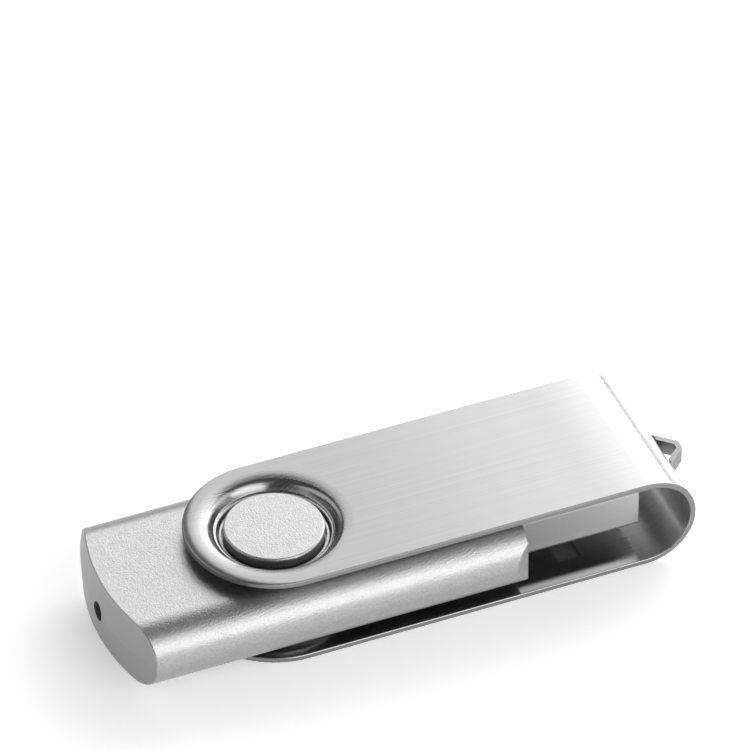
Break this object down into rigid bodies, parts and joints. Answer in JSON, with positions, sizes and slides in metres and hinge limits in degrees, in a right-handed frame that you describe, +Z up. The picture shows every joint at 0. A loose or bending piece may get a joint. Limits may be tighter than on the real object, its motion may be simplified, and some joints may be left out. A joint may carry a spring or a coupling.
{
  "type": "usb flash drive",
  "caption": "Silver swivel memory stick: a flat rounded body with a standard plug turns inside a folded steel clip with a key loop.",
  "frame": {"origin": "on the resting surface, under the middle of the overall length with the plug covered", "axes": "+X from the rear end towards the plug, the clip's bend and its key loop; +Z up, along the swivel axis"},
  "size_m": [0.0615, 0.0204, 0.0102],
  "materials": {
    "clip_steel": "brushed outside, polished inside",
    "body_silver": "fine-grained satin silver",
    "plug_steel": "satin nickel plate",
    "insulator": "satin",
    "contact_gold": "gold plate",
    "solder": "bright",
    "board_green": "solder resist",
    "package_black": "matte",
    "lead_tin": "tin plate",
    "ceramic_tan": "fired ceramic",
    "ceramic_white": "fired ceramic",
    "lamp_clear": "clear resin",
    "ferrite_grey": "sintered"
  },
  "bodies": {
    "drive": {"upper_shell": "body_silver", "lower_shell": "body_silver", "plug_shell": "plug_steel", "plug_insulator": "insulator", "power_contacts": "contact_gold", "data_contacts": "contact_gold", "contact_solder": "solder", "tab_solder": "solder", "circuit_board": "board_green", "memory_chip": "package_black", "memory_leads": "lead_tin", "controller_chip": "package_black", "controller_leads": "lead_tin", "crystal_base": "ceramic_white", "crystal_lid": "lead_tin", "led_base": "ceramic_white", "led_lens": "lamp_clear", "voltage_regulator": "package_black", "regulator_leads": "lead_tin", "capacitor_bodies": "ceramic_tan", "capacitor_ends": "lead_tin", "resistor_bodies": "package_black", "resistor_ends": "lead_tin", "ferrite_bead": "ferrite_grey"},
    "clip": {"swivel_clip": "clip_steel"}
  },
  "joints": [
    {"name": "clip_swivel", "type": "hinge", "parent": "drive", "child": "clip", "pos_m": [-0.01235, 0, 0.0051], "axis": [0, 0, 1], "continuous": true}
  ]
}
